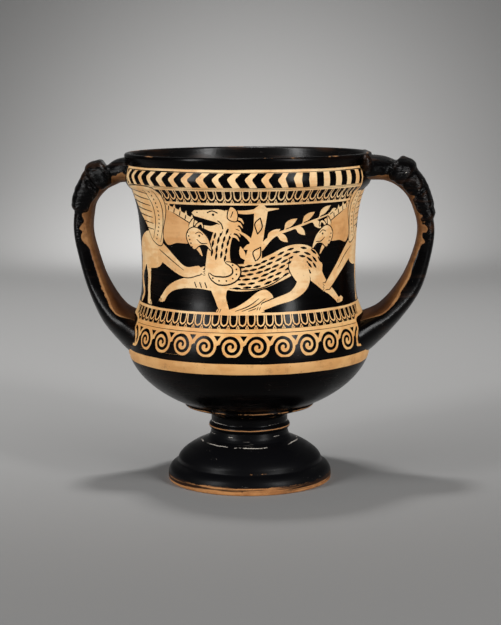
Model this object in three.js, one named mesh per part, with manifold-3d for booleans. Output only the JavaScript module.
// Kantharos: a deep drinking cup on a stem, with two tall strap handles that are knotted at the top.
// It is one piece of fired clay. Millimetres, +Z up, the foot stands on z = 0, the handles lie along X.
import * as THREE from "three";
import { mergeVertices } from "three/addons/utils/BufferGeometryUtils.js";
import Module from "manifold-3d";

// Heights of the turned zones, from the surface it stands on to the rim
const footEdgeHeight = 14.4;
const footDomeHeight = 16.1;
const stemHeight = 19.5;
const discHeight = 7.4;
const bowlHeight = 39.6;
const spiralBandHeight = 19.6;
const flareHeight = 24.4;
const wallHeight = 73.6;
const chevronBandHeight = 15.2;
const lipHeight = 10.2;

// Outer radii of the turned zones
const footRadius = 60;
const domeRadius = 52.7;
const stemRadius = 28;
const discRadius = 47.6;
const bandRadius = 88.4;
const waistRadius = 77.4;
const throatRadius = 84.6;
const chevronRadius = 89.6;
const rimRadius = 89.3;

// Clay thickness, the ring it stands on, and the hollow under the foot
const wall = 5;
const bandWall = 9;
const floorThickness = 7.5;
const restRingWidth = 8.5;
const hollowHeight = 23;

// Small turned forms
const stemRingRise = 1.6;
const stemRingHeight = 5;
const fasciaDip = 2.2;
const rimRounding = 1.6;

// Handles: how far each reaches from the cup's axis, measured to the middle of the strap
const leftReach = 121;
const rightReach = 127.9;
const strapWidth = 29;
const strapThickness = 11;
const lowerRootWidth = 76;
const lowerRootThickness = 25;
const leftUpperRootWidth = 48;
const rightUpperRootWidth = 64;
const upperRootThickness = 17.5;

// Knots: the bands of clay that are wrapped round the top bend of each strap
const knotBandWidth = 13;
const knotBandThickness = 8.5;
const knotTailWidth = 8.5;
const knotTailThickness = 6;
const lugRadius = 6.5;

const roundSteps = 44;
const wrapEnd = 0.68 * Math.PI;

// Levels, each one zone above the last
const footTop = footEdgeHeight + footDomeHeight;
const stemTop = footTop + stemHeight;
const bowlBottom = stemTop + discHeight;
const bandBottom = bowlBottom + bowlHeight;
const bandTop = bandBottom + spiralBandHeight;
const wallBottom = bandTop + flareHeight;
const wallTop = wallBottom + wallHeight;
const lipBottom = wallTop + chevronBandHeight;
const rimTop = lipBottom + lipHeight;

const clay = new THREE.MeshStandardMaterial({ color: 0x17120f, roughness: 0.3, metalness: 0 });

const wasm = await Module();
wasm.setup();

// A closed three.js geometry as a solid that can be joined and cut
function solidOf(geometry) {
  const bare = geometry.clone();
  bare.deleteAttribute("normal");
  bare.deleteAttribute("uv");
  const merged = mergeVertices(bare, 1e-4);
  const corners = merged.index.array;
  const faces = [];
  for (let i = 0; i < corners.length; i += 3) {
    const [a, b, c] = corners.slice(i, i + 3);
    if (a !== b && b !== c && c !== a) faces.push(a, b, c);
  }
  const make = (triangles) =>
    new wasm.Manifold(
      new wasm.Mesh({
        numProp: 3,
        vertProperties: merged.attributes.position.array,
        triVerts: new Uint32Array(triangles),
      }),
    );
  const solid = make(faces);
  return solid.volume() < 0 ? make(faces.reverse()) : solid;
}

// A solid back as a three.js geometry with flat faces
function geometryOf(solid) {
  const mesh = solid.getMesh();
  const geometry = new THREE.BufferGeometry();
  geometry.setAttribute("position", new THREE.BufferAttribute(mesh.vertProperties, mesh.numProp));
  geometry.setIndex(new THREE.BufferAttribute(mesh.triVerts, 1));
  geometry.computeVertexNormals();
  return geometry;
}

// A bend in an outline: a cubic curve past two handles to its end, in a few straight steps
const bend = (steps, handleA, handleB, end) => ({ steps, handles: [handleA, handleB, end] });

// A form turned on the wheel. Its outline runs from axis to axis through corners [radius, level] and bends.
function turned(outline) {
  const points = [];
  for (const part of outline) {
    if (Array.isArray(part)) {
      points.push(new THREE.Vector2(...part));
      continue;
    }
    const handles = part.handles.map(([radius, level]) => new THREE.Vector2(radius, level));
    const curve = new THREE.CubicBezierCurve(points.at(-1), ...handles);
    points.push(...curve.getPoints(part.steps).slice(1));
  }
  return solidOf(new THREE.LatheGeometry(points, roundSteps).rotateX(Math.PI / 2));
}

// A closed skin over rings that have the same number of points, with a flat cap at each end
function skin(rings) {
  const count = rings[0].length;
  const last = (rings.length - 1) * count;
  const faces = [];
  for (let r = 0; r < last; r += count)
    for (let i = 0; i < count; i++) {
      const next = (i + 1) % count;
      faces.push(r + i, r + next, r + count + next, r + i, r + count + next, r + count + i);
    }
  for (let i = 1; i + 1 < count; i++) faces.push(0, i + 1, i, last, last + i, last + i + 1);
  return solidOf(new THREE.BufferGeometry().setFromPoints(rings.flat()).setIndex(faces));
}

// The hollow underside, the ring it stands on, the foot's edge, its dome and the stem with its ring
function footOutline() {
  const ringInner = footRadius - restRingWidth;
  const ringLevel = footTop + stemHeight / 2;
  return [
    [0, hollowHeight],
    bend(3, [stemRadius, hollowHeight], [ringInner - 4, hollowHeight * 0.6], [ringInner, 0]),
    [footRadius - 0.4, 0],
    bend(
      4,
      [footRadius + 0.8, footEdgeHeight * 0.38],
      [footRadius - 0.2, footEdgeHeight * 0.73],
      [footRadius - 5, footEdgeHeight * 0.86],
    ),
    [domeRadius + 0.4, footEdgeHeight * 0.92],
    [domeRadius - 0.2, footEdgeHeight + 2],
    bend(
      4,
      [domeRadius - 1.8, footEdgeHeight + footDomeHeight * 0.4],
      [(domeRadius + stemRadius) / 2, footTop - 2.6],
      [stemRadius + 3, footTop],
    ),
    [stemRadius + 1, footTop + 3],
    [stemRadius + 0.4, ringLevel - stemRingHeight / 2],
    bend(
      3,
      [stemRadius + stemRingRise, ringLevel - stemRingHeight / 3],
      [stemRadius + stemRingRise, ringLevel + stemRingHeight / 3],
      [stemRadius, ringLevel + stemRingHeight / 2],
    ),
    [stemRadius, stemTop - 2],
    [stemRadius + 2, stemTop],
  ];
}

// The disc under the bowl, the bowl, the band of spirals, the wall, the band of chevrons and the lip
function cupOutline() {
  return [
    [discRadius - 4, bowlBottom - 3],
    [discRadius - 0.6, bowlBottom - 2],
    [discRadius, bowlBottom - 0.8],
    [discRadius - 1, bowlBottom],
    bend(
      7,
      [discRadius + (bandRadius - discRadius) * 0.55, bowlBottom + bowlHeight * 0.24],
      [bandRadius - 3, bowlBottom + bowlHeight * 0.62],
      [bandRadius - 0.2, bandBottom],
    ),
    [bandRadius, bandBottom + spiralBandHeight / 2],
    [bandRadius - 1.6, bandTop],
    bend(
      4,
      [waistRadius + (bandRadius - waistRadius) * 0.5, bandTop + flareHeight * 0.32],
      [waistRadius + 2.2, bandTop + flareHeight * 0.55],
      [waistRadius + 0.6, wallBottom],
    ),
    bend(
      3,
      [waistRadius - 0.4, wallBottom + wallHeight * 0.28],
      [waistRadius + 0.5, wallBottom + wallHeight * 0.5],
      [waistRadius + 1.6, wallBottom + wallHeight * 0.66],
    ),
    bend(
      3,
      [waistRadius + 2.2, wallBottom + wallHeight * 0.78],
      [throatRadius - 3, wallTop - wallHeight * 0.1],
      [throatRadius, wallTop],
    ),
    bend(
      4,
      [chevronRadius - 0.6, wallTop + chevronBandHeight * 0.16],
      [chevronRadius + 1.2, wallTop + chevronBandHeight * 0.62],
      [rimRadius - 1.2, lipBottom],
    ),
    [rimRadius - fasciaDip, lipBottom + lipHeight * 0.25],
    [rimRadius - 0.5, lipBottom + lipHeight * 0.6],
    [rimRadius, rimTop - rimRounding * 1.2],
    [rimRadius - rimRounding * 0.3, rimTop - rimRounding * 0.3],
    [rimRadius - rimRounding, rimTop],
    [0, rimTop],
  ];
}

// The hollow that the drink fills, open above the rim
function hollowOutline() {
  const floor = bowlBottom + floorThickness;
  const mouth = rimRadius - wall;
  const throat = waistRadius - wall;
  const belly = bandRadius - bandWall;
  return [
    [0, rimTop + wall],
    [mouth + rimRounding, rimTop + wall],
    [mouth + rimRounding, rimTop - 0.6],
    [mouth, rimTop - rimRounding * 1.5],
    bend(
      3,
      [mouth - 0.5, wallTop],
      [throat + 2.4, wallTop - wallHeight * 0.14],
      [throat + 1, wallBottom + wallHeight * 0.62],
    ),
    bend(2, [throat, wallBottom + wallHeight * 0.3], [throat, wallBottom], [belly - 1.5, bandTop]),
    bend(
      2,
      [belly + 1, bandBottom + spiralBandHeight * 0.6],
      [belly, bandBottom],
      [belly - 4, bowlBottom + bowlHeight * 0.72],
    ),
    bend(4, [belly - 12, floor + bowlHeight * 0.3], [discRadius, floor], [0, floor]),
  ];
}

// Points along each strap's middle line, from inside the upper wall over the bend to inside the band:
// share of the reach beyond the wall, share of the height between the roots, thickness, width
const leftStations = [
  [-0.3, 1, upperRootThickness, leftUpperRootWidth],
  [0.18, 1, upperRootThickness, leftUpperRootWidth],
  [0.4, 0.965, strapThickness + 3.5, leftUpperRootWidth * 0.8],
  [0.64, 0.917, strapThickness + 2, strapWidth + 1],
  [0.86, 0.83, strapThickness + 1, strapWidth],
  [0.965, 0.745, strapThickness + 0.5, strapWidth],
  [1, 0.62, strapThickness - 0.3, strapWidth],
  [0.9, 0.475, strapThickness + 0.5, strapWidth],
  [0.7, 0.29, strapThickness + 3, strapWidth + 5],
  [0.385, 0.105, strapThickness + 8, (strapWidth + lowerRootWidth) / 2],
  [0, 0, lowerRootThickness, lowerRootWidth],
  [-0.3, -0.08, lowerRootThickness, lowerRootWidth],
];
const rightStations = [
  [-0.3, 1, upperRootThickness, rightUpperRootWidth],
  [0.18, 1, upperRootThickness, rightUpperRootWidth],
  [0.4, 0.985, strapThickness + 5, rightUpperRootWidth * 0.7],
  [0.61, 0.94, strapThickness + 3, strapWidth + 3],
  [0.8, 0.865, strapThickness + 1.5, strapWidth],
  [0.93, 0.765, strapThickness + 1, strapWidth],
  [1.01, 0.63, strapThickness + 1, strapWidth],
  [0.945, 0.475, strapThickness + 2, strapWidth],
  [0.755, 0.285, strapThickness + 5, strapWidth + 5],
  [0.4, 0.11, strapThickness + 7, (strapWidth + lowerRootWidth) / 2],
  [0, 0, lowerRootThickness, lowerRootWidth],
  [-0.3, -0.08, lowerRootThickness, lowerRootWidth],
];

// A strap that can be asked for its middle line, its frame and its section at any share of its length
function strapLine(reach, stations, rootRise) {
  const rootRadius = rimRadius - wall;
  const lowerRoot = bandBottom + spiralBandHeight * 0.65;
  const upperRoot = lipBottom - rootRise;
  const middle = new THREE.CatmullRomCurve3(
    stations.map(([out, up]) => {
      const x = rootRadius + (reach - rootRadius) * out;
      return new THREE.Vector3(x, 0, lowerRoot + (upperRoot - lowerRoot) * up);
    }),
    false,
    "catmullrom",
  );
  const sizes = new THREE.CatmullRomCurve3(
    stations.map(([, , thickness, width]) => new THREE.Vector3(thickness, width, 0)),
    false,
    "catmullrom",
  );
  return (share) => {
    const along = middle.getTangent(share);
    const { x: thickness, y: width } = sizes.getPoint(share);
    return {
      centre: middle.getPoint(share),
      along,
      outward: new THREE.Vector3(-along.z, 0, along.x),
      thickness,
      width,
      flare: THREE.MathUtils.clamp((width - strapWidth) / strapWidth, 0, 1),
    };
  };
}

const power = (value, exponent) => Math.sign(value) * Math.abs(value) ** exponent;

// A point on the strap's rounded section; the flared roots are oval and follow the round wall
function strapPoint(place, turn, rise) {
  const exponent = THREE.MathUtils.lerp(0.5, 0.9, place.flare);
  const across = (place.width / 2 + rise) * power(Math.sin(turn), exponent);
  const out = (place.thickness / 2 + rise) * power(Math.cos(turn), exponent);
  const point = place.centre.clone().addScaledVector(place.outward, out);
  point.x -= (place.flare * across * across) / (2 * rimRadius);
  point.y = across;
  return point;
}

function strap(lineAt) {
  const ringSteps = 26;
  const sectionSteps = 14;
  const rings = [];
  for (let r = 0; r <= ringSteps; r++) {
    const place = lineAt(r / ringSteps);
    const ring = [];
    for (let i = 0; i < sectionSteps; i++)
      ring.push(strapPoint(place, (2 * Math.PI * i) / sectionSteps, 0));
    rings.push(ring);
  }
  return skin(rings);
}

// A band of clay wrapped over the outer face and round both edges of the strap.
// slant is how far along the strap it runs from its middle to each edge, as a share of the strap.
function knotBand(lineAt, { at, slant, width, thickness, lift }) {
  const ringSteps = 10;
  const sectionSteps = 8;
  const rings = [];
  for (let r = 0; r <= ringSteps; r++) {
    const part = r / ringSteps;
    const turn = THREE.MathUtils.lerp(-wrapEnd, wrapEnd, part);
    const share = at + slant * Math.sin(turn);
    const place = lineAt(share);
    const arch = lift * Math.cos(turn) ** 2;
    const centre = strapPoint(place, turn, arch);
    const away = centre.clone().sub(place.centre).normalize();
    const fullness = (1 - (2 * part - 1) ** 6) * 0.75 + 0.25;
    const ring = [];
    for (let i = 0; i < sectionSteps; i++) {
      const angle = (2 * Math.PI * i) / sectionSteps;
      ring.push(
        centre
          .clone()
          .addScaledVector(place.along, (width / 2) * fullness * Math.cos(angle))
          .addScaledVector(away, (thickness / 2) * fullness * Math.sin(angle)),
      );
    }
    rings.push(ring);
  }
  return skin(rings);
}

function knot(lineAt, bands) {
  return bands.map((band) => knotBand(lineAt, band)).reduce((all, band) => all.add(band));
}

// Each knot: a broad wrap over the top of the bend, two bands that cross below it, and a small last turn
const broad = { width: knotBandWidth + 5, thickness: knotBandThickness + 2.5 };
const plain = { width: knotBandWidth, thickness: knotBandThickness };
const small = { width: knotTailWidth, thickness: knotTailThickness };
const leftKnot = [
  { ...broad, at: 0.24, slant: 0.015, lift: 2.4 },
  { ...plain, at: 0.328, slant: -0.03, lift: 2.6 },
  { ...small, at: 0.345, slant: 0.035, lift: 3 },
  { ...small, at: 0.415, slant: 0.005, lift: 1 },
];
const rightKnot = [
  { ...broad, at: 0.254, slant: 0.01, lift: 1.2 },
  { ...small, at: 0.345, slant: 0.035, lift: 1.6 },
  { ...plain, at: 0.378, slant: -0.035, lift: 0.8 },
  { ...small, at: 0.49, slant: 0.005, lift: 0 },
];

// The curled ends of the right strap that stand against the lip
function lug(side) {
  const across = (side * rightUpperRootWidth) / 2;
  const reachIn = Math.sqrt(rimRadius ** 2 - across ** 2) + 1;
  const geometry = new THREE.SphereGeometry(lugRadius, 10, 6);
  geometry.scale(0.75, 1, 1.05);
  return solidOf(geometry.translate(reachIn, across, rimTop - lugRadius));
}

function leftHandle() {
  const lineAt = strapLine(leftReach, leftStations, 2.5);
  return strap(lineAt).add(knot(lineAt, leftKnot)).mirror([1, 0, 0]);
}

function rightHandle() {
  const lineAt = strapLine(rightReach, rightStations, 1);
  return strap(lineAt).add(knot(lineAt, rightKnot)).add(lug(-1)).add(lug(1));
}

function kantharos() {
  const outside = turned([...footOutline(), ...cupOutline()]);
  const solid = outside.add(leftHandle()).add(rightHandle()).subtract(turned(hollowOutline()));
  const mesh = new THREE.Mesh(geometryOf(solid), clay);
  mesh.name = "kantharos";
  // The part's origin is below the middle of the whole, so the cup's axis stands a little to one side
  const box = solid.boundingBox();
  mesh.position.x = -(box.min[0] + box.max[0]) / 2;
  return mesh;
}

const cup = new THREE.Group();
cup.add(kantharos());

export default cup;
